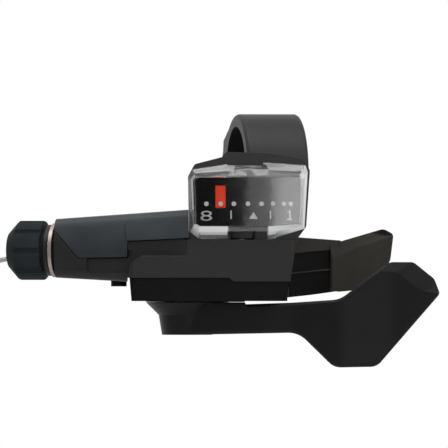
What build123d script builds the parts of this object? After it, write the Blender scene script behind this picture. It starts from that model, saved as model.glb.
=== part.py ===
from build123d import *
from math import asin, copysign, cos, degrees, pi, radians, sin, sqrt, tan
import os

# Right-hand trigger gear shifter for a straight handlebar: eight speeds, two thumb levers, a dial and a cable.
# Millimetres and degrees. The bar runs along X through the origin, Y points away from the rider and Z is up.
# The body is drawn square to the rider's view (x to the right, y away from the rider, z up) and is then turned
# about Z onto the bar by BODY_YAW.

# Clearances
FIT = 0.02
RUN = 0.05
PLAY = 0.3
SEAM = 0.2
WALL = 1.6
REACH = 200.0

# Handlebar clamp, in the bar's own frame
BODY_YAW = 12.0
BAR_DIAMETER = 22.2
BAR_RELIEF = 0.8
CLAMP_WALL = 3.0
CLAMP_WIDTH = 15.2
CLAMP_ROUND = 1.0
CLAMP_SPLIT = 2.0
SPLIT_Z = -3.0
PINCH_BACK = 16.2
PINCH_LAND = 4.2
EAR_TOP = 3.4
EAR_DEPTH = 7.0
SHOULDER_Y = 3.0
BOLT_DIAMETER = 5.0
BOLT_HEAD_DIAMETER = 8.5
BOLT_HEAD_HEIGHT = 5.0
BOLT_HEX = 4.0
NUT_ACROSS = 8.0
NUT_HEIGHT = 3.4

# Body block under the bar
BODY_LEFT = -33.4
BODY_RIGHT = 7.3
BODY_TAPER = 1.6
BODY_FRONT = -28.0
BODY_BACK = 3.0
BODY_TOP = -14.4
LEDGE_LEFT = -17.6
LEDGE_Z = -20.2
LEDGE_BEVEL = 2.6
SKIRT_Z = -26.4
SKIRT_STEP = 0.9
SKIRT_STEP_X = -9.0
FRONT_ROUND = 1.2
BACK_ROUND = 9.0
BASE_Z = -31.1
BASE_INSET = 0.3
BASE_TAPER = 0.5
SCREW_DIAMETER = 2.0
SCREW_GRIP = 3.0
SCREW_HEAD_DIAMETER = 4.0
SCREW_SINK = 1.2
FLOOR = 1.8
CEILING_Z = -16.0
LEFT_CEILING_Z = -21.8

# Display hood, window and dial
HOOD_LEFT = -19.0
HOOD_RIGHT = 10.4
HOOD_TOP = 3.6
HOOD_RISE = 1.2
HOOD_BOTTOM = -16.2
HOOD_FRONT = -26.6
HOOD_BACK = -10.0
POCKET_LEFT = -17.9
POCKET_RIGHT = 8.6
POCKET_TOP = -1.0
POCKET_FLOOR = -13.4
POCKET_BACK = -16.8
LENS_FRONT = -29.6
LENS_WALL = 1.1
LENS_BEND_ACROSS = 0.52
LENS_BEND_OUT = 0.27
LENS_TAB_WIDTH = 9.6
LENS_TAB_DEPTH = 1.0
LENS_NOTCH_DEPTH = 1.9
LENS_SIDE_EDGE = 0.4
LENS_FLAT_EDGE = 0.05
PANEL_THICK = 0.5
PANEL_HALF_ANGLE = 73.0
PANEL_GAP = 0.1

# Spool axle and gear steps
SPOOL_X = -5.9
SPOOL_Y = -14.0
GEARS = 8
REST_GEAR = 7
TEETH = 23
TOP_GEAR_ANGLE = -41.0
AXLE_DIAMETER = 5.0
AXLE_HEAD_DIAMETER = 8.0
AXLE_HEAD = 0.9
POINTER_RADIUS = 12.25
POINTER_THICK = 0.7
FLAG_WIDTH = 2.4
FLAG_TOP = -3.3
FLAG_BOTTOM = -8.6
STEM_WIDTH = 1.8
STEM_FOOT = 1.0

# Spool, ratchet, pawls
CABLE_DIAMETER = 1.2
CABLE_Z = -18.9
SPOOL_PITCH_RADIUS = 9.8
SPOOL_FLANGE = 0.9
SPOOL_TOP = -17.6
SPOOL_WAIST = -20.4
SPOOL_WAIST_DIAMETER = 17.2
SPOOL_BOTTOM = -23.4
SPOOL_CUP_RADIUS = 7.6
SPOOL_CUP_DEPTH = 3.8
SPOOL_BOSS_DIAMETER = 10.0
RATCHET_RADIUS = 9.0
RATCHET_TOOTH = 1.2
RATCHET_THICK = 1.6
RATCHET_Z = -26.2
PAWL_REACH = 9.3
PAWL_EYE_RADIUS = 2.2
PAWL_WIDTH = 1.8
PAWL_PIN_DIAMETER = 2.4
HOLD_PIN_ANGLE = 130.0
HOLD_PIN_REACH = 13.3
HOLD_TIP_ANGLE = 88.0

# Lever axle and pull lever
LEVER_X = -19.2
LEVER_Y = -14.0
LEVER_AXLE_DIAMETER = 6.0
LEVER_PIVOT_DIAMETER = 4.0
LEVER_PIVOT_LENGTH = 1.6
LEVER_HEAD_DIAMETER = 9.0
LEVER_HEAD = 1.6
LEVER_HEX = 4.0
HUB_TOP_RADIUS = 10.0
HUB_MID_RADIUS = 6.9
HUB_LOW_RADIUS = 6.1
HUB_CONE = 3.1
LEVER_BOTTOM = -39.3
LEVER_TOP = BASE_Z - 0.3
BEARING_GAP = 0.08
ARM_STEP_X = -5.3
ARM_DROP = 0.5
ARM_BEND_ROUND = 25.0
ARM_BACK_ROUND = 20.0
ARM_END_ROUND = 30.0
PADDLE_PLAN_ROUND = 40.0
DRIVE_ANGLE = -120.0
DRIVE_THICK = 1.2
PADDLE_FRONT = -31.0
PADDLE_THICK = 4.4
PADDLE_ROUND = 0.9
PADDLE_LOW = -47.1
PADDLE_TIP = 41.7
PADDLE_TIP_Z = -29.3
PADDLE_TOP = -21.7

# Release lever
RELEASE_ANGLE = 52.0
RELEASE_HUB_RADIUS = 6.0
RELEASE_THICK = 1.2
RELEASE_STROKE = 16.0
RELEASE_ARM_REACH = 20.4
RELEASE_ARM_WIDTH = 3.6
RELEASE_PAD_THICK = 3.4
RELEASE_ROUND = 0.7
RELEASE_TAB_ANGLE = 142.0
RELEASE_TAB_REACH = 8.2
RELEASE_TAB_WIDTH = 2.4
RELEASE_SLOT_START = 8.0
RELEASE_SLOT_END = 40.0
WEB_RECESS = 1.3

# Barrel: distances along the cable from the spool
BARREL_YAW = 14.0
NOSE_END = 42.6
NOSE_HALF_WIDTH = 7.0
NOSE_END_TOP = -11.3
NOSE_TOP = -9.0
NOSE_BOTTOM = -25.5
NOSE_BELLY = 1.0
BELLY_END = 24.0
NOSE_ROUND = 2.6
POCKET_START = 23.0
POCKET_END = 34.6
POCKET_LOW = -24.4
NOSE_POCKET_DEPTH = 0.6
CORE_END = 32.6
CORE_HALF_WIDTH = 4.4
CORE_TOP = -14.2
COVER_PAD_START = 8.0
COVER_PAD_END = 24.6
COVER_PAD_RISE = 0.5
COVER_PAD_Z = (-16.5, -11.5)
COVER_PAD_HALF_DEPTH = 2.0
STEM_DIAMETER = 5.8
STEM_LENGTH = 13.0
SPRING_BORE_DIAMETER = 10.2
SPRING_BORE_DEPTH = 9.0
RING_DIAMETER = 13.1
RING_THICK = 0.85
RING_GAP = 1.0
RING_BORE = 10.6
COLLAR_DIAMETER = 12.4
COLLAR_THICK = 1.0
COLLAR_SLEEVE = 3.4
KNOB_DIAMETER = 14.3
KNOB_LENGTH = 9.5
KNOB_LOBES = 9
KNOB_LOBE_TURN = -2.7
KNOB_GROOVE_DEPTH = 0.7
KNOB_GROOVE_RADIUS = 1.0
KNOB_NOSE_DIAMETER = 8.6
KNOB_NOSE_LENGTH = 2.6
NECK_DIAMETER = 10.4
SOCKET_DIAMETER = 5.4
MOUTH_DIAMETER = 6.8
MOUTH_DEPTH = 3.2
CABLE_HOLE_DIAMETER = 2.3
CABLE_DROOP = 10.4
DROOP_START = 45.2
DROOP_RADIUS = 8.0

# Free end of the cable
CABLE_LENGTH = 2000.0
COIL_RADIUS = 10.8
COIL_FILL = 0.78
TAIL_RUNS = ((0.0, 0.0), (7.0, -0.2), (14.5, -1.2), (21.5, -3.6))
TIE_WIDTH = 4.0
TIE_THICK = 0.8
END_CAP_DIAMETER = 2.0
END_CAP_LENGTH = 9.0

# Worked out from the sizes above
BAR_RADIUS = BAR_DIAMETER / 2
CLAMP_RADIUS = BAR_RADIUS + CLAMP_WALL
STEP_ANGLE = 360.0 / TEETH
REST_ANGLE = TOP_GEAR_ANGLE + (GEARS - REST_GEAR) * STEP_ANGLE
LOW_GEAR_ANGLE = TOP_GEAR_ANGLE + (GEARS - 1) * STEP_ANGLE
SPOOL = (SPOOL_X, SPOOL_Y)
LEVER = (LEVER_X, LEVER_Y)
CABLE_RADIUS = CABLE_DIAMETER / 2
FLOOR_TOP = BASE_Z + FLOOR
RATCHET_TOP = RATCHET_Z + RATCHET_THICK
RELEASE_Z = FLOOR_TOP + PLAY
RELEASE_TOP = RELEASE_Z + RELEASE_THICK
DRIVE_TOP = RATCHET_Z - SEAM
DRIVE_Z = DRIVE_TOP - DRIVE_THICK
BARREL_OUT = Vector(-cos(radians(BARREL_YAW)), sin(radians(BARREL_YAW)), 0)
BARREL_FRONT = Vector(-sin(radians(BARREL_YAW)), -cos(radians(BARREL_YAW)), 0)
TANGENT = Vector(SPOOL_X, SPOOL_Y, CABLE_Z) + BARREL_FRONT * SPOOL_PITCH_RADIUS
BARREL = Plane(origin=TANGENT, x_dir=BARREL_FRONT, z_dir=BARREL_OUT)
RING_START = NOSE_END + RING_GAP
COLLAR_START = RING_START + RING_THICK + SEAM
KNOB_START = COLLAR_START + COLLAR_THICK + SEAM
KNOB_END = KNOB_START + KNOB_LENGTH
COIL_TURNS = CABLE_LENGTH / (2 * pi * COIL_RADIUS)
COIL_SECTION_RADIUS = CABLE_RADIUS * sqrt(COIL_TURNS / COIL_FILL)


def plan_prism(points, low, high, radius=0.0):
    """An outline seen from above, raised from low to high."""
    path = FilletPolyline(*[(x, y, low) for x, y in points], radius=radius, close=True)
    return extrude(make_face(path), amount=high - low, dir=(0, 0, 1))


def view_prism(points, near, far, radius=0.0):
    """An outline as the rider sees it, run back from near to far."""
    path = FilletPolyline(*[(x, near, z) for x, z in points], radius=radius, close=True)
    return extrude(make_face(path), amount=far - near, dir=(0, 1, 0))


def barrel_prism(points, half_width, radius=0.0):
    """An outline of (distance along the barrel, z) points, as wide as the nose."""
    path = FilletPolyline(
        *[BARREL.from_local_coords(Vector(-half_width, z - CABLE_Z, t)) for t, z in points],
        radius=radius,
        close=True,
    )
    return extrude(make_face(path), amount=2 * half_width, dir=BARREL_FRONT)


def disc(center, diameter, low, high):
    """An upright cylinder."""
    x, y = center
    return Pos(x, y, (low + high) / 2) * Cylinder(diameter / 2, high - low)


def box(x0, x1, y0, y1, z0, z1):
    """A box from its corners."""
    return Pos((x0 + x1) / 2, (y0 + y1) / 2, (z0 + z1) / 2) * Box(x1 - x0, y1 - y0, z1 - z0)


def polar(center, radius, angle):
    """A point in plan, the angle taken from +x towards +y."""
    return (center[0] + radius * cos(radians(angle)), center[1] + radius * sin(radians(angle)))


def sector(center, inner, outer, start, stop, low, high):
    """Part of an upright ring between two angles."""
    x, y = center
    outer_arc = CenterArc((x, y, low), outer, start, stop - start)
    inner_arc = CenterArc((x, y, low), inner, start, stop - start)
    sides = [Line(outer_arc @ 0, inner_arc @ 0), Line(outer_arc @ 1, inner_arc @ 1)]
    return extrude(make_face([outer_arc, inner_arc] + sides), amount=high - low, dir=(0, 0, 1))


def along_barrel(diameter, start, stop):
    """A round bar on the barrel's axis."""
    return BARREL * Pos(0, 0, (start + stop) / 2) * Cylinder(diameter / 2, stop - start)


def coil_spring(radius, wire, pitch, height):
    """An open coil standing on the origin."""
    path = Helix(pitch=pitch, height=height, radius=radius)
    section = Plane(origin=path @ 0, z_dir=path % 0) * Circle(wire / 2)
    return sweep(section, path=path, is_frenet=True)


def inset(points, distance):
    """The same outline moved inwards by one distance; the points run clockwise as the rider sees them."""
    moved = []
    for i, (x, z) in enumerate(points):
        px, pz = points[i - 1]
        nx, nz = points[(i + 1) % len(points)]
        before = Vector(x - px, z - pz).normalized()
        after = Vector(nx - x, nz - z).normalized()
        bisector = Vector(before.Y + after.Y, -before.X - after.X)
        reach = 2 * distance / bisector.length ** 2
        moved.append((x + bisector.X * reach, z + bisector.Y * reach))
    return moved


def body_plan(margin):
    """Plan of the body block, moved inwards by a margin."""
    left, right = BODY_LEFT + margin, BODY_RIGHT - margin
    front, back = BODY_FRONT + margin, BODY_BACK - margin
    corner = max(BACK_ROUND - margin, FRONT_ROUND)
    corners = [(left, front), (right, front), (right, back), (left, back)]
    return corners, [FRONT_ROUND, FRONT_ROUND, corner, corner]


# The window's outline where it meets the hood, and its flat front face
LENS_REAR = [
    (-19.05, -1.2), (-17.9, 0.7), (-4.5, 2.6), (9.3, 1.7), (9.9, 0.1),
    (9.1, -13.7), (0.9, -16.2), (-16.4, -16.1), (-18.5, -14.4),
]
LENS_FACE = [
    (-17.8, -2.1), (-17.2, -1.3), (-4.5, -1.2), (8.2, -1.2), (8.6, -1.8),
    (8.3, -12.5), (0.9, -13.1), (-16.4, -13.1), (-17.5, -12.5),
]
HOOD_OUTLINE = [
    (HOOD_LEFT + 0.3, HOOD_BOTTOM), (HOOD_LEFT, -1.1), (HOOD_LEFT + 1.6, 1.9), (-10.8, HOOD_TOP),
    (-9.8, HOOD_TOP + HOOD_RISE), (0.8, HOOD_TOP + HOOD_RISE - 0.2), (HOOD_RIGHT - 1.6, 3.2),
    (HOOD_RIGHT, 0.4), (HOOD_RIGHT - 0.9, -13.2), (BODY_RIGHT, HOOD_BOTTOM),
]
HOOD_CORNERS = [0.0, 1.5, 1.2, 0.5, 0.6, 1.5, 1.5, 1.5, 1.0, 0.0]
# The nose cover's lower edge, as (distance along the barrel, z)
COVER_EDGE = [(44.0, -12.2), (38.0, -19.2), (36.6, -20.7), (24.5, -20.5), (24.3, -16.6), (4.0, -15.6)]


def nose_block():
    """The whole nose before it is parted into cover and lower half."""
    outline = [
        (NOSE_END, NOSE_BOTTOM), (NOSE_END, NOSE_END_TOP), (9.0, NOSE_TOP), (5.0, NOSE_TOP),
        (5.0, SKIRT_Z + SKIRT_STEP), (BELLY_END - 0.4, SKIRT_Z + SKIRT_STEP),
        (BELLY_END, NOSE_BOTTOM - NOSE_BELLY),
    ]
    block = barrel_prism(outline, NOSE_HALF_WIDTH)
    long_edges = [e for e in block.edges() if abs((e % 0.5).dot(BARREL_OUT)) > 0.9]
    belly = (TANGENT + BARREL_OUT * BELLY_END).X
    return fillet([e for e in long_edges if e.center().Z > CABLE_Z or e.center().X < belly], NOSE_ROUND)


def cover_region(margin):
    """The part of the nose that the cover takes, grown by a margin."""
    top = NOSE_TOP + 6.0
    points = COVER_EDGE + [(COVER_EDGE[-1][0], top), (COVER_EDGE[0][0], top)]
    return barrel_prism(inset(points, -margin), NOSE_HALF_WIDTH + 4.0)


def nose_pocket():
    """The shallow sunk field on the front of the lower nose."""
    low, high = POCKET_LOW, CABLE_Z
    points = [(POCKET_END, low), (POCKET_END, high), (POCKET_START, high), (POCKET_START, low)]
    field = barrel_prism(points, NOSE_HALF_WIDTH, [1.0, 0.0, 0.0, 0.0])
    return Pos(*(BARREL_FRONT * (2 * NOSE_HALF_WIDTH - NOSE_POCKET_DEPTH))) * field


def barrel_bores():
    """What is cut along the barrel: cable channel, stem hole and spring bore."""
    channel = along_barrel(CABLE_DIAMETER + 1.0, -4.0, NOSE_END + 1)
    stem = along_barrel(STEM_DIAMETER + 2 * RUN, KNOB_START - STEM_LENGTH - PLAY - 1.0, NOSE_END + 1)
    spring = along_barrel(SPRING_BORE_DIAMETER, NOSE_END - SPRING_BORE_DEPTH, NOSE_END + 1)
    return channel + stem + spring


def clamp_loop():
    """The clamp band with its pinch ears, in the bar's frame, before the bar is bored."""
    back = PINCH_BACK + PINCH_LAND
    ear_bottom = SPLIT_Z - CLAMP_SPLIT / 2 - EAR_DEPTH
    ears = make_face(
        Polyline(
            (0, 0), (SHOULDER_Y, sqrt(CLAMP_RADIUS ** 2 - SHOULDER_Y ** 2)), (15.2, 8.2),
            (15.8, EAR_TOP + 2.0), (back - 3.0, EAR_TOP), (back, EAR_TOP - 1.2), (back, ear_bottom),
            (CLAMP_WALL, ear_bottom), close=True,
        )
    )
    profile = Circle(CLAMP_RADIUS) + ears
    band = extrude(Plane.YZ * profile, amount=CLAMP_WIDTH / 2, both=True)
    rims = [e for e in band.edges() if abs(abs(e.center().X) - CLAMP_WIDTH / 2) < 0.01]
    return fillet(rims, CLAMP_ROUND)


def clamp_cuts():
    """The bar's bore, the split, the bolt hole and the nut's seat, in the bar's frame."""
    bore = Rot(0, 90, 0) * Cylinder(BAR_RADIUS, REACH)
    reach = PINCH_BACK + PINCH_LAND
    half_gap = CLAMP_SPLIT / 2
    split = box(-CLAMP_WIDTH, CLAMP_WIDTH, 0, reach + 1, SPLIT_Z - half_gap, SPLIT_Z + half_gap)
    hole = disc((0, PINCH_BACK), BOLT_DIAMETER + 0.4, -30, EAR_TOP - NUT_HEIGHT + 1)
    seat = Pos(0, PINCH_BACK, EAR_TOP - NUT_HEIGHT) * extrude(
        RegularPolygon((NUT_ACROSS + 0.1) / 2, 6, major_radius=False), amount=20
    )
    return bore + split + hole + seat


def row(shape):
    """Turns a shape from the body's frame onto the bar."""
    return Rot(0, 0, -BODY_YAW) * shape


def left_of(x):
    """Everything to the left of one upright plane."""
    return box(-REACH, x, -REACH, REACH, -REACH, REACH)


# The base screws in plan, and how high the post of each one stands
POST_DIAMETER = 4.4
SCREW_POSTS = [
    (BODY_LEFT + 4.4, BODY_FRONT + 4.3, LEFT_CEILING_Z + 0.5),
    (BODY_RIGHT - 4.3, BODY_FRONT + 3.4, SPOOL_TOP - 0.4),
    (BODY_LEFT + 6.2, BODY_BACK - 6.4, LEFT_CEILING_Z + 0.5),
]


def corner_rib():
    """The web that ties the short post in the front right corner to the walls."""
    x, y, top = SCREW_POSTS[1]
    half = POST_DIAMETER / 2
    return box(x - half, BODY_RIGHT - BODY_TAPER, BODY_FRONT + WALL - 0.2, y, SKIRT_Z, top)


def main_housing():
    """Clamp, display hood, front skirt and lower nose: one moulding."""
    plan, corners = body_plan(0)
    bottom_right = BODY_RIGHT - BODY_TAPER
    outline = [
        (BODY_LEFT, SKIRT_Z + SKIRT_STEP), (BODY_LEFT + 0.5, LEDGE_Z - LEDGE_BEVEL * 0.7),
        (BODY_LEFT + 0.5 + LEDGE_BEVEL, LEDGE_Z), (LEDGE_LEFT, LEDGE_Z), (LEDGE_LEFT, BODY_TOP),
        (BODY_RIGHT, BODY_TOP), (BODY_RIGHT, -15.8), (bottom_right, SKIRT_Z),
        (SKIRT_STEP_X + 1.0, SKIRT_Z), (SKIRT_STEP_X, SKIRT_Z + SKIRT_STEP),
    ]
    shell = view_prism(outline, BODY_FRONT, BODY_BACK) & plan_prism(plan, BASE_Z, 0, corners)
    shell -= cover_region(SEAM) & left_of(HOOD_LEFT + 0.3)
    behind_front = box(-REACH, REACH, BODY_FRONT, REACH, -REACH, REACH)
    lower_nose = (nose_block() - cover_region(SEAM)) & behind_front
    lower_nose -= box(BODY_LEFT - SEAM, REACH, -REACH, REACH, -REACH, SKIRT_Z + SKIRT_STEP)
    shell += lower_nose - nose_pocket()
    shell += barrel_prism(
        [(CORE_END, LEFT_CEILING_Z + 0.2), (CORE_END, CORE_TOP), (8.0, CORE_TOP), (8.0, LEFT_CEILING_Z + 0.2)],
        CORE_HALF_WIDTH,
    )
    hood = view_prism(HOOD_OUTLINE, HOOD_FRONT, HOOD_BACK, HOOD_CORNERS)
    bar_space = Rot(0, 0, BODY_YAW) * (Rot(0, 90, 0) * Cylinder(BAR_RADIUS + BAR_RELIEF, REACH))
    shell -= box(HOOD_LEFT - 1, BODY_RIGHT + 1, BODY_FRONT - 1, HOOD_FRONT, HOOD_BOTTOM - 0.1, 0)
    shell += hood - bar_space
    inner, inner_corners = body_plan(WALL)
    right_half = plan_prism(inner, SKIRT_Z - 1, CEILING_Z, inner_corners) & left_of(BODY_RIGHT - WALL - 0.2)
    right_half -= left_of(LEDGE_LEFT + 0.2)
    left_half = plan_prism(inner, SKIRT_Z - 1, LEFT_CEILING_Z, inner_corners)
    shell -= right_half + left_half
    core_radius = POINTER_RADIUS - POINTER_THICK - PANEL_THICK - 0.4
    dial_core = disc(SPOOL, 2 * core_radius, POCKET_FLOOR, POCKET_TOP)
    pocket = box(POCKET_LEFT, POCKET_RIGHT, LENS_FRONT, POCKET_BACK, POCKET_FLOOR, POCKET_TOP)
    shell -= pocket - dial_core
    half_foot = degrees(asin(STEM_WIDTH / 2 / POINTER_RADIUS)) + 4.0
    shell -= sector(
        SPOOL, POINTER_RADIUS - POINTER_THICK / 2 - PLAY, POINTER_RADIUS + POINTER_THICK / 2 + PLAY,
        TOP_GEAR_ANGLE - 90 - half_foot, LOW_GEAR_ANGLE - 90 + half_foot, CEILING_Z - 2, POCKET_FLOOR + 0.5,
    )
    shell -= along_barrel(CABLE_DIAMETER + 2.0, -2.0, 14.0)
    shell += corner_rib()
    for x, y, top in SCREW_POSTS:
        shell += disc((x, y), POST_DIAMETER, SKIRT_Z, top)
        shell -= disc((x, y), SCREW_DIAMETER, SKIRT_Z - 1, SKIRT_Z + SCREW_GRIP + 1.0)
    pivot_low = LEFT_CEILING_Z - LEVER_PIVOT_LENGTH
    shell += disc(LEVER, LEVER_PIVOT_DIAMETER + 3.0, pivot_low, LEFT_CEILING_Z + 0.2)
    shell -= disc(LEVER, LEVER_PIVOT_DIAMETER + 2 * RUN, pivot_low - 1, LEFT_CEILING_Z + 0.3)
    shell -= disc(SPOOL, AXLE_DIAMETER + 2 * FIT, CEILING_Z - 1, BODY_TOP - 0.3)
    shell -= barrel_bores() + disc(PLUG_PLACE, PLUG_SHANK + 2 * FIT, -REACH, NOSE_BOTTOM + 2.2)
    shell -= disc(PLUG_PLACE, PLUG_DIAMETER + 2 * FIT, -REACH, NOSE_BOTTOM - NOSE_BELLY + PLUG_SINK + FIT)
    half = CLAMP_WIDTH / 2
    saddle = box(-half, half - 3.2, -CLAMP_RADIUS + 2, CLAMP_WALL, BODY_TOP - 0.2, -CLAMP_RADIUS + 3)
    return row(shell) + clamp_loop() + saddle - clamp_cuts()


def nose_cover():
    """The upper half of the nose."""
    beside_hood = left_of(HOOD_LEFT + 0.3) - view_prism(inset(HOOD_OUTLINE, -RUN), -REACH, REACH)
    cover = nose_block() & cover_region(0) & beside_hood
    cover -= barrel_bores()
    channel = barrel_prism(
        [(CORE_END + 1.0, BASE_Z), (CORE_END + 1.0, CORE_TOP + 0.5), (2.0, CORE_TOP + 3.0), (2.0, BASE_Z)],
        CORE_HALF_WIDTH + SEAM,
    )
    low, high = COVER_PAD_Z
    half = COVER_PAD_HALF_DEPTH
    pad = barrel_prism(
        [(COVER_PAD_START, low), (COVER_PAD_START, high), (COVER_PAD_END, high - 0.4), (COVER_PAD_END, low)],
        half,
        [0.0, 0.0, 0.8, 0.8],
    )
    pad = Pos(*(BARREL_FRONT * (NOSE_HALF_WIDTH + COVER_PAD_RISE - half))) * pad
    pad &= cover_region(0) & beside_hood
    return row(cover + pad - channel)


def base_cover():
    """The tray that closes the mechanism from below."""
    margin = BASE_INSET
    plan, corners = body_plan(margin)
    right = BODY_RIGHT - BODY_TAPER - margin
    top_left = SKIRT_Z + SKIRT_STEP
    outline = [
        (BODY_LEFT + margin, top_left), (BODY_LEFT + margin + BASE_TAPER, BASE_Z),
        (right - BASE_TAPER, BASE_Z), (right, SKIRT_Z),
        (SKIRT_STEP_X + 1.0, SKIRT_Z), (SKIRT_STEP_X, top_left),
    ]
    tray = view_prism(outline, BODY_FRONT, BODY_BACK) & plan_prism(plan, BASE_Z, 0, corners)
    inner, inner_corners = body_plan(margin + WALL)
    hollow = plan_prism(inner, FLOOR_TOP, 0, inner_corners) & left_of(right - WALL - 0.4)
    tray -= hollow
    for x, y, top in SCREW_POSTS:
        tray += disc((x, y), POST_DIAMETER, FLOOR_TOP - 0.2, SKIRT_Z - SEAM)
        tray -= disc((x, y), SCREW_DIAMETER + 0.6, BASE_Z - 1, 0)
        tray -= disc((x, y), SCREW_HEAD_DIAMETER, BASE_Z - 1, BASE_Z + SCREW_SINK)
    tray += disc(RELEASE_POST, RELEASE_POST_DIAMETER, FLOOR_TOP - 0.2, RELEASE_TOP)
    tray += disc(LEVER, 2 * HUB_TOP_RADIUS, LEVER_TOP + BEARING_GAP, BASE_Z + 0.2)
    strip = [(LEVER_X, BODY_FRONT + 2.0), (ARM_STEP_X, BODY_FRONT + 2.0), (ARM_STEP_X, LEVER_Y), (LEVER_X, LEVER_Y)]
    tray += plan_prism(strip, LEVER_TOP + BEARING_GAP, BASE_Z + 0.2)
    tray -= disc(LEVER, LEVER_AXLE_DIAMETER + 2 * RUN, BASE_Z - 1, 0)
    tray -= disc(SPOOL, AXLE_DIAMETER + 2 * FIT, BASE_Z - 1, 0)
    tray -= disc(SPOOL, AXLE_HEAD_DIAMETER + 2 * FIT, BASE_Z - 1, BASE_Z + AXLE_HEAD)
    half = degrees(asin(RELEASE_ARM_WIDTH / 2 / 14.0)) + 3.0
    stop = RELEASE_ANGLE + RELEASE_STROKE + half
    slot = (RELEASE_SLOT_START, RELEASE_SLOT_END)
    tray -= sector(SPOOL, *slot, RELEASE_ANGLE - half, stop, FLOOR_TOP, RELEASE_TOP + PLAY)
    return row(tray)


def window_lens():
    """The clear cap over the dial: a flat face with sides in two slopes, notched for the hood's two clips."""
    rear = HOOD_FRONT

    def outline(points, depth):
        return make_face(Polyline(*[(x, depth, z) for x, z in points], close=True))

    bend = [
        (x + (fx - x) * LENS_BEND_ACROSS, z + (fz - z) * LENS_BEND_ACROSS)
        for (x, z), (fx, fz) in zip(LENS_REAR, LENS_FACE)
    ]
    bend_depth = rear + (LENS_FRONT - rear) * LENS_BEND_OUT
    centre_x, centre_z = (HOOD_LEFT + HOOD_RIGHT) / 2, (HOOD_BOTTOM + HOOD_TOP) / 2
    inner_face = [
        (x - copysign(LENS_SIDE_EDGE, x - centre_x), z - copysign(LENS_FLAT_EDGE, z - centre_z))
        for x, z in LENS_FACE
    ]
    outer = loft(
        [outline(LENS_REAR, rear), outline(bend, bend_depth), outline(LENS_FACE, LENS_FRONT)], ruled=True
    )
    inner = loft(
        [
            outline(inset(LENS_REAR, LENS_WALL), rear),
            outline(inner_face, LENS_FRONT + LENS_WALL),
        ],
        ruled=True,
    )
    shell = outer - inner
    middle = -4.7
    half = LENS_TAB_WIDTH / 2
    shell -= box(middle - half, middle + half, LENS_FRONT, rear, -20, HOOD_BOTTOM + LENS_NOTCH_DEPTH)
    shell -= box(middle - half, middle + half - 1.0, LENS_FRONT, rear, 2.6 - LENS_TAB_DEPTH, 6)
    return row(shell)


def dial_panel():
    """The black card behind the pointer, bent round the hood's core."""
    outer = POINTER_RADIUS - POINTER_THICK - 0.2
    start, stop = -90 - PANEL_HALF_ANGLE, -90 + PANEL_HALF_ANGLE
    low, high = POCKET_FLOOR + PANEL_GAP, POCKET_TOP - PANEL_GAP
    return row(sector(SPOOL, outer - PANEL_THICK, outer, start, stop, low, high))


def spool_axle():
    """The riveted axle that the spool and the release lever turn on."""
    shaft = disc(SPOOL, AXLE_DIAMETER, BASE_Z, BODY_TOP - 0.5)
    return row(shaft + disc(SPOOL, AXLE_HEAD_DIAMETER, BASE_Z, BASE_Z + AXLE_HEAD))


def spool_spacer():
    """The washer between the release lever and the ratchet."""
    washer = disc(SPOOL, 9.0, RELEASE_TOP + 0.1, RATCHET_Z - 0.1)
    return row(washer - disc(SPOOL, AXLE_DIAMETER + 2 * FIT, BASE_Z, 0))


def cable_spool():
    """The drum that winds the cable, cupped on top for its spring."""
    flange = SPOOL_PITCH_RADIUS + SPOOL_FLANGE
    drum = disc(SPOOL, 2 * flange, SPOOL_WAIST, SPOOL_TOP)
    drum += disc(SPOOL, SPOOL_WAIST_DIAMETER, SPOOL_BOTTOM, SPOOL_WAIST)
    groove = Pos(SPOOL_X, SPOOL_Y, CABLE_Z) * Torus(SPOOL_PITCH_RADIUS + RUN, CABLE_RADIUS + RUN)
    mouth_top = CABLE_Z + CABLE_RADIUS + RUN
    mouth_low = CABLE_Z - CABLE_RADIUS - RUN
    mouth = disc(SPOOL, 2 * flange + 2, mouth_low, mouth_top) - disc(
        SPOOL, 2 * SPOOL_PITCH_RADIUS, mouth_low - 1, mouth_top + 1
    )
    drum -= groove + mouth
    drum -= disc(SPOOL, 2 * SPOOL_CUP_RADIUS, SPOOL_TOP - SPOOL_CUP_DEPTH, SPOOL_TOP + 1)
    drum += disc(SPOOL, SPOOL_BOSS_DIAMETER, RATCHET_Z, SPOOL_BOTTOM + 0.1)
    drum -= head_pocket()
    return row(drum - disc(SPOOL, AXLE_DIAMETER + 2 * RUN, BASE_Z, 0))


HEAD_ANGLE = -BARREL_YAW - 90 + 62.0
HEAD_DIAMETER = 4.0
HEAD_LENGTH = 4.0


def head_solid(grow=0.0):
    """The cable's soldered head, lying along the groove."""
    x, y = polar(SPOOL, SPOOL_PITCH_RADIUS - 0.6, HEAD_ANGLE + degrees(HEAD_LENGTH / 2 / SPOOL_PITCH_RADIUS))
    turned = Plane(
        origin=(x, y, CABLE_Z - 0.6),
        z_dir=Vector(-sin(radians(HEAD_ANGLE + 12)), cos(radians(HEAD_ANGLE + 12)), 0),
    )
    return turned * Cylinder(HEAD_DIAMETER / 2 - 0.6 + grow, HEAD_LENGTH + 2 * grow)


def head_pocket():
    """The seat of the head in the drum, open to the rim."""
    seat = head_solid(RUN)
    outwards = Vector(cos(radians(HEAD_ANGLE + 12)), sin(radians(HEAD_ANGLE + 12)), 0)
    return seat + Pos(*(outwards * 1.5)) * seat + Pos(*(outwards * 3.0)) * seat


def ratchet_ring():
    """The toothed ring on the spool's boss, one tooth for each gear step."""
    points = []
    for tooth in range(TEETH):
        angle = tooth * STEP_ANGLE + DRIVE_ANGLE
        points.append(polar(SPOOL, RATCHET_RADIUS, angle))
        points.append(polar(SPOOL, RATCHET_RADIUS - RATCHET_TOOTH, angle + STEP_ANGLE * 0.12))
    ring = plan_prism(points, RATCHET_Z, RATCHET_TOP)
    return row(ring - disc(SPOOL, SPOOL_BOSS_DIAMETER + 2 * FIT, BASE_Z, 0))


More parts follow.
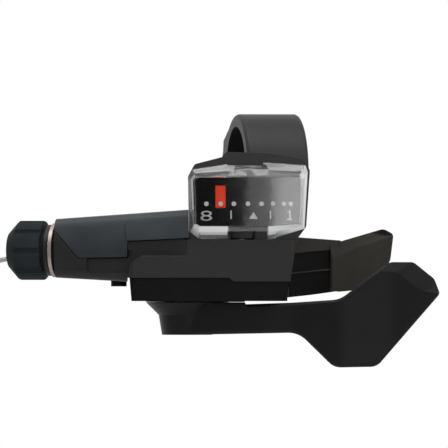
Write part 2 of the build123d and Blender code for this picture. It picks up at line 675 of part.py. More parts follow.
def spool_spring():
    """The flat spiral spring in the spool's cup, drawn as half circles."""
    strip = 0.4
    low = SPOOL_TOP - SPOOL_CUP_DEPTH + PLAY
    high = SPOOL_TOP - PLAY
    inner = AXLE_DIAMETER / 2 + 0.9
    pitch = 1.1
    halves = int((SPOOL_CUP_RADIUS - PLAY - strip - inner) / pitch * 2)
    edges = []
    for side in (0.0, strip):
        for half in range(halves):
            radius = inner + side + half * pitch / 2
            shift = pitch / 4 if half % 2 else -pitch / 4
            start = 180.0 if half % 2 else 0.0
            edges.append(CenterArc((SPOOL_X + shift, SPOOL_Y, low), radius, start, 180))
    edges.append(Line(edges[0] @ 0, edges[halves] @ 0))
    edges.append(Line(edges[halves - 1] @ 1, edges[2 * halves - 1] @ 1))
    return row(extrude(make_face(edges), amount=high - low, dir=(0, 0, 1)))


def at_gear(shape):
    """Turns a shape drawn straight to the front round to the pointer's resting gear."""
    return Pos(SPOOL_X, SPOOL_Y, 0) * Rot(0, 0, REST_ANGLE) * Pos(-SPOOL_X, -SPOOL_Y, 0) * shape


def pointer_arm():
    """The black arm that carries the flag up from the spool."""
    front = SPOOL_Y - POINTER_RADIUS
    half = STEM_WIDTH / 2
    foot = box(
        SPOOL_X - half, SPOOL_X + half, front - POINTER_THICK / 2, SPOOL_Y - SPOOL_CUP_RADIUS,
        SPOOL_TOP, SPOOL_TOP + STEM_FOOT,
    )
    stem = box(
        SPOOL_X - half, SPOOL_X + half, front - POINTER_THICK / 2, front + POINTER_THICK / 2,
        SPOOL_TOP, FLAG_BOTTOM,
    )
    return row(at_gear(foot + stem))


def pointer_flag():
    """The orange flag on top of the arm."""
    front = SPOOL_Y - POINTER_RADIUS
    flag = box(
        SPOOL_X - FLAG_WIDTH / 2, SPOOL_X + FLAG_WIDTH / 2,
        front - POINTER_THICK / 2, front + POINTER_THICK / 2,
        FLAG_BOTTOM, FLAG_TOP,
    )
    return row(at_gear(flag))


def lever_axle():
    """The axle of the pull lever: head below, bearing pin on top."""
    top = LEFT_CEILING_Z - LEVER_PIVOT_LENGTH
    shaft = disc(LEVER, LEVER_AXLE_DIAMETER, LEVER_BOTTOM + LEVER_HEAD, top - PLAY)
    pin = disc(LEVER, LEVER_PIVOT_DIAMETER, top - PLAY, LEFT_CEILING_Z - 0.1)
    head = disc(LEVER, LEVER_HEAD_DIAMETER, LEVER_BOTTOM + 0.3, LEVER_BOTTOM + 0.3 + LEVER_HEAD)
    hexagon = RegularPolygon(LEVER_HEX / 2, 6, major_radius=False)
    hex_hole = Pos(LEVER_X, LEVER_Y, LEVER_BOTTOM) * extrude(hexagon, amount=LEVER_HEAD - 0.1)
    return row(shaft + pin + head - hex_hole)


DRIVE_PIN = polar(LEVER, PAWL_REACH, DRIVE_ANGLE)


def drive_arm():
    """The arm on the lever axle that carries the pull pawl."""
    plate = disc(LEVER, LEVER_AXLE_DIAMETER + 2.8, DRIVE_Z, DRIVE_TOP)
    plate += disc(DRIVE_PIN, 2 * PAWL_EYE_RADIUS + 0.6, DRIVE_Z, DRIVE_TOP)
    side = polar((0, 0), 2.4, DRIVE_ANGLE + 90)
    plate += plan_prism(
        [
            (LEVER_X + side[0], LEVER_Y + side[1]), (DRIVE_PIN[0] + side[0], DRIVE_PIN[1] + side[1]),
            (DRIVE_PIN[0] - side[0], DRIVE_PIN[1] - side[1]), (LEVER_X - side[0], LEVER_Y - side[1]),
        ],
        DRIVE_Z, DRIVE_TOP,
    )
    plate -= disc(LEVER, LEVER_AXLE_DIAMETER + 2 * FIT, BASE_Z, 0)
    return row(plate - disc(DRIVE_PIN, PAWL_PIN_DIAMETER + 2 * FIT, BASE_Z, 0))


def pull_pawl_pin():
    """The pin that joins drive arm and pull pawl."""
    pin = disc(DRIVE_PIN, PAWL_PIN_DIAMETER, DRIVE_Z, RATCHET_TOP + 0.7)
    return row(pin + disc(DRIVE_PIN, PAWL_PIN_DIAMETER + 1.2, RATCHET_TOP + 0.2, RATCHET_TOP + 0.7))


def pull_pawl():
    """The link that pushes the ratchet; it stays parallel to the line of the two axles as the lever swings."""
    tip = polar(SPOOL, PAWL_REACH, DRIVE_ANGLE)
    x, y = DRIVE_PIN
    link = plan_prism(
        [
            (x, y), (tip[0], tip[1]), (tip[0] + 0.5, tip[1] - 0.9),
            (tip[0] - 2.0, y - PAWL_WIDTH), (x, y - PAWL_WIDTH),
        ],
        RATCHET_Z, RATCHET_TOP,
    )
    link += disc(DRIVE_PIN, 2 * PAWL_EYE_RADIUS, RATCHET_Z, RATCHET_TOP)
    return row(link - disc(DRIVE_PIN, PAWL_PIN_DIAMETER + 2 * RUN, BASE_Z, 0))


def pull_spring():
    """The coil round the lever axle that brings the pull lever back."""
    low = DRIVE_TOP + 0.7
    spring = coil_spring(LEVER_AXLE_DIAMETER / 2 + 1.0, 0.8, 1.0, 1.8)
    return row(Pos(LEVER_X, LEVER_Y, low) * spring)


RELEASE_POST = (-21.8, -3.0)
RELEASE_POST_DIAMETER = 2.0
HOLD_PIN = polar(SPOOL, HOLD_PIN_REACH, HOLD_PIN_ANGLE)


def hold_pawl():
    """The pawl that stops the spool from running back."""
    tip = polar(SPOOL, RATCHET_RADIUS + PLAY, HOLD_TIP_ANGLE)
    x, y = HOLD_PIN
    pawl = plan_prism(
        [(x, tip[1]), (tip[0], tip[1]), (tip[0] - 0.4, tip[1] + 1.4), (x + 2.0, y + 1.9), (x, y + 2.0)],
        RATCHET_Z, RATCHET_TOP,
    )
    pawl += disc(HOLD_PIN, 4.0, RATCHET_Z, RATCHET_TOP)
    return row(pawl - disc(HOLD_PIN, PAWL_PIN_DIAMETER + 2 * RUN, BASE_Z, 0))


def hold_pin():
    """The post that the hold pawl turns on, standing in the base."""
    pin = disc(HOLD_PIN, PAWL_PIN_DIAMETER, FLOOR_TOP, LEFT_CEILING_Z - 1.0)
    return row(pin + disc(HOLD_PIN, 4.0, FLOOR_TOP, RATCHET_Z - SEAM))


def hold_spring():
    """The small coil that presses the hold pawl in."""
    spring = coil_spring(PAWL_PIN_DIAMETER / 2 + 0.65, 0.4, 0.55, 1.1)
    return row(Pos(*HOLD_PIN, RATCHET_TOP + 0.35) * spring)


# Outer edge and crease of the bevel on each paddle, in the plane of its front face
PADDLE_BEVEL = 1.3
PADDLE_OUTER = [
    (-REACH, PADDLE_TOP), (PADDLE_TIP - 6.4, PADDLE_TOP), (PADDLE_TIP - 1.4, PADDLE_TOP - 4.0),
    (PADDLE_TIP + 0.05, PADDLE_TIP_Z + 0.1), (REACH, -REACH), (-REACH, -REACH),
]
PADDLE_CREASE = [
    (-REACH, PADDLE_TOP - 2.8), (PADDLE_TIP - 9.8, PADDLE_TOP - 2.8), (PADDLE_TIP - 4.1, PADDLE_TOP - 6.9),
    (PADDLE_TIP - 0.1, PADDLE_TIP_Z + 0.2), (REACH, -REACH), (-REACH, -REACH),
]
PADDLE_OUTER_ROUND = [0.0, 2.0, 2.5, 0.0, 0.0, 0.0]
PADDLE_CREASE_ROUND = [0.0, 5.5, 5.5, 0.0, 0.0, 0.0]
RELEASE_BEVEL = 0.9
RELEASE_OUTER = [(-3.0, -18.6), (15.7, -13.6), (30.0, -13.6), (30.0, -REACH), (-3.0, -REACH)]
RELEASE_CREASE = [(-3.0, -23.0), (7.8, -18.6), (30.0, -11.4), (30.0, -REACH), (-3.0, -REACH)]


def bevel_limit(plane, outer, crease, depth, outer_round=0.0, crease_round=0.0):
    """What is left of a paddle when its upper edge is bevelled: full outline behind, crease in front."""
    back = make_face(FilletPolyline(*[(x, z, -depth) for x, z in outer], radius=outer_round, close=True))
    front = make_face(FilletPolyline(*[(x, z, 0) for x, z in crease], radius=crease_round, close=True))
    slope = loft([back, front], ruled=True)
    behind = extrude(back, amount=REACH, dir=(0, 0, -1))
    ahead = extrude(front, amount=REACH, dir=(0, 0, 1))
    return plane * (behind + slope + ahead)


def pull_lever():
    """The large thumb lever: cone hub, arm and paddle in one moulding."""
    arm_top = LEVER_TOP - BEARING_GAP / 2
    side = [
        (LEVER_X, arm_top), (LEVER_X, LEVER_BOTTOM), (7.6, LEVER_BOTTOM + 0.6), (16.2, PADDLE_LOW),
        (26.5, PADDLE_LOW + 0.2), (PADDLE_TIP, PADDLE_TIP_Z), (PADDLE_TIP - 1.4, PADDLE_TOP - 4.0),
        (PADDLE_TIP - 6.4, PADDLE_TOP), (PADDLE_TIP - 12.1, PADDLE_TOP), (17.6, LEVER_TOP + 0.7),
        (6.0, LEVER_TOP - 0.1), (ARM_STEP_X + 0.3, LEVER_TOP - ARM_DROP), (ARM_STEP_X, arm_top),
    ]
    side_round = [0.0, 0.0, 6.0, 4.0, 3.4, 1.2, 2.5, 2.0, 2.5, 6.0, 3.0, 0.0, 0.0]
    front, back = PADDLE_FRONT, PADDLE_FRONT + PADDLE_THICK
    plan = [
        (-19.5, -20.0), (8.0, front + 1.6), (18.0, front + 0.3), (30.0, front + 0.2),
        (PADDLE_TIP + 2.3, front - 0.9), (PADDLE_TIP + 2.3, back - 1.0),
        (30.0, back), (17.0, back + 0.6), (8.0, back + 2.8), (-16.0, -8.5),
    ]
    plan_round = [
        0.0, ARM_BEND_ROUND, ARM_END_ROUND, PADDLE_PLAN_ROUND, 0.0, 0.0,
        PADDLE_PLAN_ROUND, ARM_END_ROUND, ARM_BACK_ROUND, 0.0,
    ]
    lever = view_prism(side, -REACH, REACH, side_round) & plan_prism(plan, -REACH, 0, plan_round)
    faces = lever.faces().filter_by(lambda f: f.normal_at(f.center()).Y < -0.9 and f.center().Z < LEVER_TOP)
    rim = [e for e in faces.edges() if e.center().X > 12 and e.center().Z > -30.0 or e.center().X > 15]
    rim = [e for e in rim if abs((e % 0.5).Z) < 0.999 or e.center().X > PADDLE_TIP - 4]
    lever = fillet(rim, PADDLE_ROUND)
    face_plane = Plane.XZ.offset(-PADDLE_FRONT)
    lever &= bevel_limit(
        face_plane, PADDLE_OUTER, PADDLE_CREASE, PADDLE_BEVEL, PADDLE_OUTER_ROUND, PADDLE_CREASE_ROUND
    )
    hub = revolve(
        Pos(LEVER_X, LEVER_Y, 0)
        * make_face(
            Polyline(
                (0, 0, LEVER_TOP), (HUB_TOP_RADIUS, 0, LEVER_TOP), (HUB_MID_RADIUS, 0, LEVER_TOP - HUB_CONE),
                (HUB_LOW_RADIUS, 0, LEVER_BOTTOM), (0, 0, LEVER_BOTTOM), close=True,
            )
        ),
        axis=Axis((LEVER_X, LEVER_Y, 0), (0, 0, 1)),
    )
    lever += hub
    lever -= disc(LEVER, LEVER_AXLE_DIAMETER + 2 * FIT, -REACH, 0)
    lever -= disc(LEVER, LEVER_HEAD_DIAMETER + 2 * FIT, -REACH, LEVER_BOTTOM + 0.3 + LEVER_HEAD)
    return row(lever)


def release_lever():
    """The small thumb lever: hub plate inside, tall web and pad outside."""
    hub = disc(SPOOL, 2 * RELEASE_HUB_RADIUS, RELEASE_Z, RELEASE_TOP)
    for angle, reach, width in (
        (RELEASE_ANGLE, RELEASE_ARM_REACH, RELEASE_ARM_WIDTH),
        (RELEASE_TAB_ANGLE, RELEASE_TAB_REACH, RELEASE_TAB_WIDTH),
    ):
        end = Vector(*polar(SPOOL, reach, angle))
        middle = Vector(*SPOOL)
        side = Vector(*polar((0, 0), width / 2, angle + 90))
        corners = (middle + side, middle - side, end - side, end + side)
        hub += plan_prism([(p.X, p.Y) for p in corners], RELEASE_Z, RELEASE_TOP)
    web_side = [
        (3.0, -15.4), (19.0, -16.6), (19.0, BASE_Z + 2.5), (11.2, BASE_Z + 1.4), (3.0, BASE_Z + 0.5),
    ]
    web_plan = [(5.5, 0.5), (18.0, 2.6), (17.0, 6.0), (4.4, 3.6)]
    web = view_prism(web_side, -REACH, REACH) & plan_prism(web_plan, -REACH, 0)
    left_end, right_end = web_plan[0], web_plan[1]
    layer_front = [(left_end[0], left_end[1] - 1.0), (right_end[0], right_end[1] - 1.0)]
    layer_back = [(right_end[0], right_end[1] + WEB_RECESS), (left_end[0], left_end[1] + WEB_RECESS)]
    front_layer = plan_prism(layer_front + layer_back, -REACH, 0)
    arm_front = [(left_end[0], left_end[1] - 6.0), (right_end[0], right_end[1] - 6.0)]
    hub -= plan_prism(arm_front + layer_back, -REACH, 0)
    web -= front_layer & view_prism([(0, -20.2), (19.0, -18.6), (19.0, -23.0), (0, -24.9)], -REACH, REACH)
    web -= front_layer & view_prism([(0, -25.3), (19.0, -23.4), (19.0, -REACH), (0, -REACH)], -REACH, REACH)
    pad_side = [
        (15.4, -17.5), (28.4, -13.7), (30.9, -15.0), (30.0, -22.3), (22.0, -28.6),
        (17.4, -29.0), (15.4, -28.6),
    ]
    pad_round = [0.8, 1.8, 1.2, 4.0, 3.0, 2.0, 0.8]
    thick = RELEASE_PAD_THICK
    pad_plan = [(14.0, 0.6), (32.0, 7.6), (32.0 - 1.2, 7.6 + thick), (14.0 - 1.2, 0.6 + thick)]
    pad = view_prism(pad_side, -REACH, REACH, pad_round) & plan_prism(pad_plan, -REACH, 0)
    faces = pad.faces().filter_by(lambda f: f.normal_at(f.center()).Y < -0.8)
    pad = fillet(faces.edges(), RELEASE_ROUND)
    along = Vector(18.0, 7.0, 0).normalized()
    face_plane = Plane(origin=(14.0, 0.6, 0), x_dir=along, z_dir=(along.Y, -along.X, 0))
    pad &= bevel_limit(face_plane, RELEASE_OUTER, RELEASE_CREASE, RELEASE_BEVEL)
    lever = hub + web + pad
    return row(lever - disc(SPOOL, AXLE_DIAMETER + 2 * RUN, -REACH, 0))


def release_spring():
    """The small coil that brings the release lever back."""
    middle = (RELEASE_Z + RELEASE_TOP) / 2
    post = Vector(*RELEASE_POST, middle)
    tab = Vector(*polar(SPOOL, RELEASE_TAB_REACH, RELEASE_TAB_ANGLE), middle)
    axis = (post - tab).normalized()
    start = tab + axis * 0.35
    length = (post - tab).length - 0.35 - RELEASE_POST_DIAMETER / 2 - 0.25
    spring = coil_spring(0.6, 0.3, 0.8, length)
    return row(Plane(origin=start, z_dir=axis) * spring)


def clamp_bolt():
    """The socket-head pinch bolt, put in from below."""
    seat = SPLIT_Z - CLAMP_SPLIT / 2 - EAR_DEPTH
    at = (0, PINCH_BACK)
    bolt = disc(at, BOLT_DIAMETER, seat, EAR_TOP - 0.4)
    bolt += disc(at, BOLT_HEAD_DIAMETER, seat - BOLT_HEAD_HEIGHT, seat)
    hex_hole = Pos(0, PINCH_BACK, seat - BOLT_HEAD_HEIGHT - 1) * extrude(
        RegularPolygon(BOLT_HEX / 2, 6, major_radius=False), amount=1 + BOLT_HEAD_HEIGHT * 0.55
    )
    return bolt - hex_hole


def clamp_nut():
    """The nut seated in the upper ear."""
    nut = Pos(0, PINCH_BACK, EAR_TOP - NUT_HEIGHT) * extrude(
        RegularPolygon(NUT_ACROSS / 2, 6, major_radius=False), amount=NUT_HEIGHT
    )
    return nut - disc((0, PINCH_BACK), BOLT_DIAMETER + 2 * FIT, -30, 30)


def base_screws():
    """Three screws that hold the base cover."""
    screws = []
    for x, y, top in SCREW_POSTS:
        shaft = disc((x, y), SCREW_DIAMETER - 2 * FIT, BASE_Z + 1.0, SKIRT_Z + SCREW_GRIP)
        head = disc((x, y), SCREW_HEAD_DIAMETER - 2 * FIT, BASE_Z + 0.2, BASE_Z + SCREW_SINK - FIT)
        slot = box(x - 3, x + 3, y - 0.3, y + 0.3, BASE_Z - 1, BASE_Z + 0.6)
        screws.append(row(shaft + head - slot))
    return Compound(children=screws)


PLUG_DIAMETER = 3.8
PLUG_SHANK = 2.8
PLUG_HEIGHT = 1.1
PLUG_SINK = 0.5
PLUG_PLACE = (BODY_LEFT - 2.3, SPOOL_Y - 2.6)


def port_plug():
    """The plug in the cable port under the nose."""
    low = NOSE_BOTTOM - NOSE_BELLY - PLUG_HEIGHT
    head = disc(PLUG_PLACE, PLUG_DIAMETER, low, NOSE_BOTTOM - NOSE_BELLY + PLUG_SINK)
    return row(head + disc(PLUG_PLACE, PLUG_SHANK, low, NOSE_BOTTOM + 2.0))


def detent_ring():
    """The bright ring between nose and knob."""
    ring = along_barrel(RING_DIAMETER, RING_START, RING_START + RING_THICK)
    return row(ring - along_barrel(RING_BORE, 0, REACH))


def detent_collar():
    """The collar that slides with the knob and is kept from turning."""
    collar = along_barrel(COLLAR_DIAMETER, COLLAR_START, COLLAR_START + COLLAR_THICK)
    collar += along_barrel(SPRING_BORE_DIAMETER - 2 * RUN, NOSE_END - COLLAR_SLEEVE, COLLAR_START + 0.1)
    return row(collar - along_barrel(STEM_DIAMETER + 2 * RUN, 0, REACH))


def detent_spring():
    """The coil under the collar."""
    low = NOSE_END - SPRING_BORE_DEPTH + 0.35
    height = SPRING_BORE_DEPTH - COLLAR_SLEEVE - 0.7
    spring = coil_spring((STEM_DIAMETER + SPRING_BORE_DIAMETER) / 4, 0.7, 1.6, height)
    return row(BARREL * Pos(0, 0, low) * spring)


def adjuster_knob():
    """The barrel adjuster: lobed grip, neck, stem and the socket for the outer casing."""
    body = along_barrel(KNOB_DIAMETER, KNOB_START + 0.7, KNOB_END)
    nose_cut = (KNOB_DIAMETER - KNOB_NOSE_DIAMETER) / 2
    heel = [e for e in body.edges() if (e.center() - TANGENT).dot(BARREL_OUT) < KNOB_START + 0.8]
    body = fillet(heel, 0.5)
    tip = [e for e in body.edges() if (e.center() - TANGENT).dot(BARREL_OUT) > KNOB_END - 0.1]
    body = chamfer(tip, KNOB_NOSE_LENGTH, nose_cut)
    for lobe in range(KNOB_LOBES):
        angle = radians(lobe * 360 / KNOB_LOBES + KNOB_LOBE_TURN)
        reach = KNOB_DIAMETER / 2 + KNOB_GROOVE_RADIUS - KNOB_GROOVE_DEPTH
        groove = Pos(reach * cos(angle), reach * sin(angle), (KNOB_START + KNOB_END) / 2) * Cylinder(
            KNOB_GROOVE_RADIUS, KNOB_LENGTH + 4
        )
        body -= BARREL * groove
    body += along_barrel(NECK_DIAMETER, KNOB_START, KNOB_START + 0.8)
    body += along_barrel(STEM_DIAMETER, KNOB_START - STEM_LENGTH, KNOB_START + 0.8)
    body -= along_barrel(SOCKET_DIAMETER, KNOB_START - 0.8, KNOB_END + 1)
    mouth = Cone(SOCKET_DIAMETER / 2, MOUTH_DIAMETER / 2, MOUTH_DEPTH)
    body -= BARREL * Pos(0, 0, KNOB_END - MOUTH_DEPTH / 2) * mouth
    return row(body - along_barrel(CABLE_HOLE_DIAMETER, 0, REACH))


def barrel_point(t, rise):
    """A point on the barrel's upright middle plane."""
    return BARREL.from_local_coords(Vector(0, rise, t))


def droop_rise(t):
    """How far the cable stands below the barrel's axis past the place where it starts to droop."""
    return -(t - DROOP_START) * tan(radians(CABLE_DROOP))


EXIT_T = KNOB_END


def tube(path):
    """The cable's round section run along a path."""
    return sweep(Plane(origin=path @ 0, z_dir=path % 0) * Circle(CABLE_RADIUS), path=path)


def cable_run():
    """The cable inside the body: round the spool, along the barrel and out of the knob."""
    leave = -BARREL_YAW - 90
    wrap = CenterArc((SPOOL_X, SPOOL_Y, CABLE_Z), SPOOL_PITCH_RADIUS, leave, HEAD_ANGLE - leave)
    wound = sweep(Plane(origin=wrap @ 0, z_dir=wrap % 0) * Circle(CABLE_RADIUS), path=wrap)
    path = FilletPolyline(
        barrel_point(0, 0), barrel_point(DROOP_START, 0), barrel_point(EXIT_T, droop_rise(EXIT_T)),
        radius=DROOP_RADIUS,
    )
    return row(wound + tube(path) - head_solid())


def cable_head():
    """The head that anchors the cable in the spool."""
    return row(head_solid())


def tail_points():
    """The free cable from the knob to its coil, straight out at first."""
    start_rise = droop_rise(EXIT_T)
    slope = tan(radians(CABLE_DROOP))
    return [barrel_point(EXIT_T + t, start_rise - slope * t + drop) for t, drop in TAIL_RUNS]


def corner_radii(points):
    """The largest arc that each corner of a route has room for."""
    radii = []
    for before, corner, after in zip(points, points[1:], points[2:]):
        turn = radians((corner - before).get_angle(after - corner))
        shorter = min((corner - before).length, (after - corner).length)
        radii.append(0.45 * shorter / tan(turn / 2))
    return radii


def coil_place():
    """The coil hangs below the end of the tail, in the barrel's upright plane."""
    end = tail_points()[-1]
    heading = (tail_points()[-1] - tail_points()[-2]).normalized()
    down = heading.cross(BARREL_FRONT).normalized()
    if down.Z > 0:
        down = down * -1
    middle = end + down * COIL_RADIUS + heading * COIL_SECTION_RADIUS
    return Plane(origin=middle, x_dir=heading, z_dir=BARREL_FRONT)


def cable_tail():
    """The free stretch between knob and coil."""
    points = tail_points()
    path = FilletPolyline(*points, radius=corner_radii(points))
    return row(tube(path) - wound_coil())


def wound_coil():
    """The outer shape of the wound spare length, in the body's frame."""
    return coil_place() * Torus(COIL_RADIUS, COIL_SECTION_RADIUS)


def cable_coil():
    """The spare length of the cable."""
    return row(wound_coil())


def coil_tie():
    """The band that holds the turns together."""
    inner = COIL_SECTION_RADIUS + SEAM
    shell = coil_place() * (Torus(COIL_RADIUS, inner + TIE_THICK) - Torus(COIL_RADIUS, inner))
    reach = COIL_RADIUS + COIL_SECTION_RADIUS + 5
    slab = coil_place() * Pos(-reach / 2, 0, 0) * Box(reach, TIE_WIDTH, 4 * COIL_SECTION_RADIUS)
    return row(shell & slab)


def end_cap():
    """The crimped cap on the cable's end, lying beside the coil."""
    lift = COIL_SECTION_RADIUS + END_CAP_DIAMETER / 2
    cap = Pos(0, -COIL_RADIUS, lift) * Rot(0, 90, 0) * Cylinder(END_CAP_DIAMETER / 2, END_CAP_LENGTH)
    return row(coil_place() * cap)


PIECES = {
    "main_housing": main_housing,
    "nose_cover": nose_cover,
    "base_cover": base_cover,
    "window_lens": window_lens,
    "dial_panel": dial_panel,
    "clamp_bolt": clamp_bolt,
    "clamp_nut": clamp_nut,
    "base_screws": base_screws,
    "port_plug": port_plug,
    "spool_axle": spool_axle,
    "spool_spacer": spool_spacer,
    "cable_spool": cable_spool,
    "ratchet_ring": ratchet_ring,
    "spool_spring": spool_spring,
    "pointer_arm": pointer_arm,
    "pointer_flag": pointer_flag,
    "lever_axle": lever_axle,
    "drive_arm": drive_arm,
    "pull_pawl": pull_pawl,
    "pull_pawl_pin": pull_pawl_pin,
    "pull_spring": pull_spring,
    "pull_lever": pull_lever,
    "hold_pawl": hold_pawl,
    "hold_pin": hold_pin,
    "hold_spring": hold_spring,
    "release_lever": release_lever,
    "release_spring": release_spring,
    "detent_ring": detent_ring,
    "detent_collar": detent_collar,
    "detent_spring": detent_spring,
    "adjuster_knob": adjuster_knob,
    "cable_head": cable_head,
    "cable_run": cable_run,
    "cable_tail": cable_tail,
    "cable_coil": cable_coil,
    "coil_tie": coil_tie,
    "end_cap": end_cap,
}

os.makedirs("parts", exist_ok=True)
for name, make in PIECES.items():
    export_step(make(), f"parts/{name}.step")
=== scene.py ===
"""Looks of the trigger gear shifter.

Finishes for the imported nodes, the dial's print, the free end of the inner cable, and the stage.
"""

import math

import bmesh
import bpy
from bpy.props import FloatProperty, FloatVectorProperty, IntProperty, PointerProperty
from bpy.types import Operator, Panel, PropertyGroup
from mathutils import Matrix, Vector


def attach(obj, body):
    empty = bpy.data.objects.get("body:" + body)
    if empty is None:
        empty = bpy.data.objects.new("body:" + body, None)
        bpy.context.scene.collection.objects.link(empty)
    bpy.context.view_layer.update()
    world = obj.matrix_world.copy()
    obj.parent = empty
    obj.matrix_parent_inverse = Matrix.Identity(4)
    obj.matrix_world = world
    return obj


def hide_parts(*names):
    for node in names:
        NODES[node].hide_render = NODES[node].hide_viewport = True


bl_info = {
    "name": "Trigger gear shifter",
    "version": (1, 0, 0),
    "blender": (4, 5, 0),
    "location": "View3D > Sidebar > Shifter",
    "description": "Dresses the packed gear shifter with its finishes, dial print and cable",
    "category": "Object",
}

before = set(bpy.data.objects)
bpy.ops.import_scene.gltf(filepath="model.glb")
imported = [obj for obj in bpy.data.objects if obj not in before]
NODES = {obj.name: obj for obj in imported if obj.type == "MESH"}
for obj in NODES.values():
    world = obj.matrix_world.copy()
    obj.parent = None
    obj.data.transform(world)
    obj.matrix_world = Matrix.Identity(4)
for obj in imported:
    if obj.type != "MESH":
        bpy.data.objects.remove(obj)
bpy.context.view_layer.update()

MM = 0.001
BODY_YAW = math.radians(12.0)
TO_BAR = Matrix.Rotation(-BODY_YAW, 4, "Z")


def at(x, y, z):
    """A place given square to the rider's view, in millimetres, as a point in the bar's frame."""
    return TO_BAR @ Vector((x * MM, y * MM, z * MM))


def heading(x, y, z):
    """A direction given square to the rider's view, in the bar's frame."""
    return TO_BAR.to_3x3() @ Vector((x, y, z))


def colour(name, description, value):
    """A colour that a user may change."""
    return FloatVectorProperty(
        name=name, description=description, subtype="COLOR", size=3, min=0.0, max=1.0, default=value
    )


def length(name, description, value):
    """A size in metres that a user may change."""
    return FloatProperty(
        name=name, description=description, subtype="DISTANCE", unit="LENGTH", min=0.0, default=value
    )


class ShifterFinishes(PropertyGroup):
    """Colours of the mouldings, metal and print."""

    clamp: colour("Clamp", "Clamp and hood", (0.0160, 0.0160, 0.0156))
    skirt: colour("Skirt", "Front skirt and lower nose", (0.010, 0.010, 0.010))
    nose: colour("Nose cover", "Upper half of the nose", (0.0345, 0.0400, 0.0445))
    # Painted shade: the nose cover is coloured darker near its lower edge, standing in for the shade
    # below its lit top
    nose_shade: colour("Nose cover, shaded low", "Painted shade near the nose cover's lower edge", (0.019, 0.0215, 0.026))
    base: colour("Base", "Cover under the mechanism", (0.004, 0.004, 0.004))
    lever: colour("Pull lever", "Large thumb lever", (0.0045, 0.0045, 0.0045))
    release: colour("Release lever", "Small thumb lever", (0.0265, 0.0238, 0.0212))
    # Painted shade: a near-black colour standing in for the shadow in the release lever's sunk arm front
    recess_shade: colour("Release lever recess", "Painted shade on the sunk front of the release lever's arm", (0.002, 0.002, 0.002))
    knob: colour("Adjuster", "Barrel adjuster's grip", (0.0165, 0.0195, 0.0215))
    ring: colour("Ring", "Metal ring behind the adjuster", (0.37, 0.305, 0.285))
    steel: colour("Steel", "Axles, springs and screws", (0.52, 0.52, 0.51))
    cable: colour("Cable", "Stranded inner cable", (0.50, 0.50, 0.50))
    flag: colour("Flag", "Gear pointer", (1.0, 0.062, 0.018))
    dial: colour("Dial", "Card behind the pointer", (0.004, 0.003, 0.003))
    mark: colour("Print", "Numbers and dots on the window", (0.52, 0.52, 0.52))
    spool: colour("Spool", "Cable drum inside", (0.55, 0.55, 0.52))


class ShifterSizes(PropertyGroup):
    """Sizes of the printed dial and of the free cable."""

    dot: length("Dot", "Width of a gear dot", 0.0011)
    print_depth: length("Print depth", "Thickness of the print on the window", 0.00006)
    cable: length("Cable", "Thickness of the inner cable", 0.0012)
    cable_length: length("Cable length", "Length from the adjuster to the end", 2.0)
    coil_radius: length("Coil", "Middle of the coil's turns", 0.0108)
    turns: IntProperty(name="Turns", description="Turns of the spare cable", min=1, max=30, default=28)


def finishes():
    return bpy.context.scene.shifter_finishes


def sizes():
    return bpy.context.scene.shifter_sizes


# A Mix node's colour sockets share their names with its number sockets, so they are counted
MIX_COLOUR_A = 6
MIX_COLOUR_B = 7
MIX_COLOUR_RESULT = 2


class Nodes:
    """A material's node tree with short ways to add and join nodes."""

    def __init__(self, name):
        self.material = bpy.data.materials.new(name)
        self.material.use_nodes = True
        self.tree = self.material.node_tree
        self.shader = self.tree.nodes["Principled BSDF"]

    def add(self, kind, **values):
        node = self.tree.nodes.new(kind)
        for key, value in values.items():
            if key in node.inputs:
                node.inputs[key].default_value = value
            else:
                setattr(node, key, value)
        return node

    def join(self, source, socket, target, target_socket):
        self.tree.links.new(source.outputs[socket], target.inputs[target_socket])

    def set(self, **values):
        for key, value in values.items():
            self.shader.inputs[key.replace("_", " ")].default_value = value

    def ramp(self, source, socket, stops):
        node = self.add("ShaderNodeValToRGB")
        while len(node.color_ramp.elements) < len(stops):
            node.color_ramp.elements.new(0.5)
        for element, (place, value) in zip(node.color_ramp.elements, stops):
            element.position = place
            element.color = value
        self.join(source, socket, node, "Fac")
        return node

    def along(self, source, socket, direction):
        """Measures a vector along one direction, given square to the rider's view."""
        node = self.add("ShaderNodeVectorMath", operation="DOT_PRODUCT")
        node.inputs[1].default_value = heading(*direction)
        self.join(source, socket, node, 0)
        return node

    def remap(self, source, socket, low, high, to_low=0.0, to_high=1.0):
        """Maps a range of a value onto another and stops at its ends."""
        limits = {"From Min": low, "From Max": high, "To Min": to_low, "To Max": to_high}
        node = self.add("ShaderNodeMapRange", **limits)
        self.join(source, socket, node, "Value")
        return node

    def size_of(self, source):
        """A value without its sign."""
        node = self.add("ShaderNodeMath", operation="ABSOLUTE")
        self.join(source, "Value", node, 0)
        return node


def grey(level):
    return (level, level, level, 1.0)


def tint(rgb, factor):
    return (rgb[0] * factor, rgb[1] * factor, rgb[2] * factor, 1.0)


# Fineness of the flow marks and of the spark-eroded grain in the mouldings
FLOW_SCALE = 130.0
SPARK_SCALE = 2600.0


